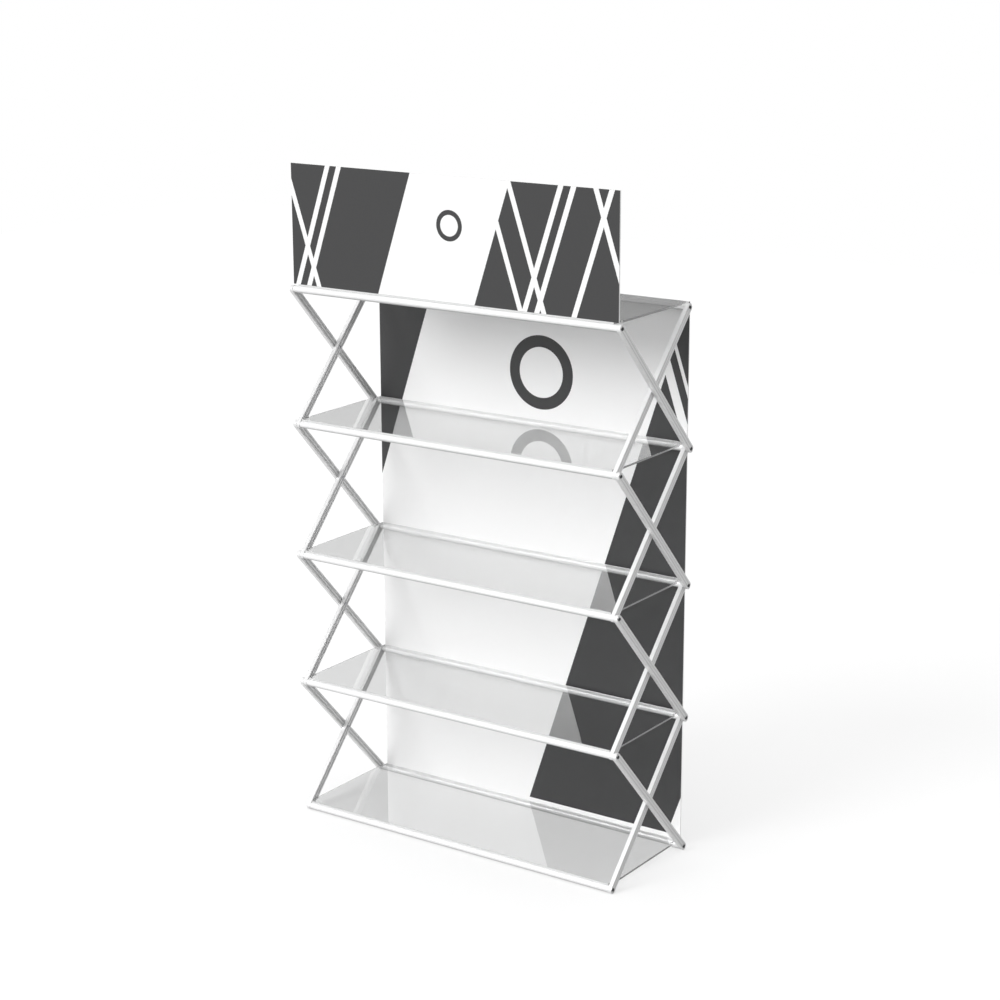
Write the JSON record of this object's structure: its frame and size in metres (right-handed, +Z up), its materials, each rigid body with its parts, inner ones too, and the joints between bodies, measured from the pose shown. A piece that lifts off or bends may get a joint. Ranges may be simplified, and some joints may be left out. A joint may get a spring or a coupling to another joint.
{
  "type": "folding display stand",
  "caption": "Free-standing folding X-frame display stand with clear shelves, a printed header board and a printed back panel.",
  "frame": {"origin": "on the floor, under the middle of the stand's bounding box", "axes": "+Z up, +X to the right seen from the front, +Y to the back"},
  "size_m": [1, 0.3566, 1.7609],
  "materials": {
    "arm_metal": "satin anodised",
    "tube_metal": "satin anodised",
    "clear_sheet": "clear polished",
    "header_card": "printed, matt laminate",
    "panel_card": "printed, matt laminate",
    "clear_bracket": "clear polished",
    "adhesive": "foam strip"
  },
  "bodies": {
    "root": {"outer_arm_1_left": "arm_metal", "inner_arm_1_left": "arm_metal", "outer_arm_1_right": "arm_metal", "inner_arm_1_right": "arm_metal", "outer_arm_2_left": "arm_metal", "inner_arm_2_left": "arm_metal", "outer_arm_2_right": "arm_metal", "inner_arm_2_right": "arm_metal", "outer_arm_3_left": "arm_metal", "inner_arm_3_left": "arm_metal", "outer_arm_3_right": "arm_metal", "inner_arm_3_right": "arm_metal", "outer_arm_4_left": "arm_metal", "inner_arm_4_left": "arm_metal", "outer_arm_4_right": "arm_metal", "inner_arm_4_right": "arm_metal", "front_tube_0": "tube_metal", "rear_tube_0": "tube_metal", "front_tube_1": "tube_metal", "rear_tube_1": "tube_metal", "front_tube_2": "tube_metal", "rear_tube_2": "tube_metal", "front_tube_3": "tube_metal", "rear_tube_3": "tube_metal", "front_tube_4": "tube_metal", "rear_tube_4": "tube_metal", "shelf_0": "clear_sheet", "shelf_1": "clear_sheet", "shelf_2": "clear_sheet", "shelf_3": "clear_sheet", "shelf_4": "clear_sheet", "header_board": "header_card", "header_brackets": "clear_bracket", "back_panel": "panel_card", "panel_strips": "adhesive"}
  },
  "joints": []
}
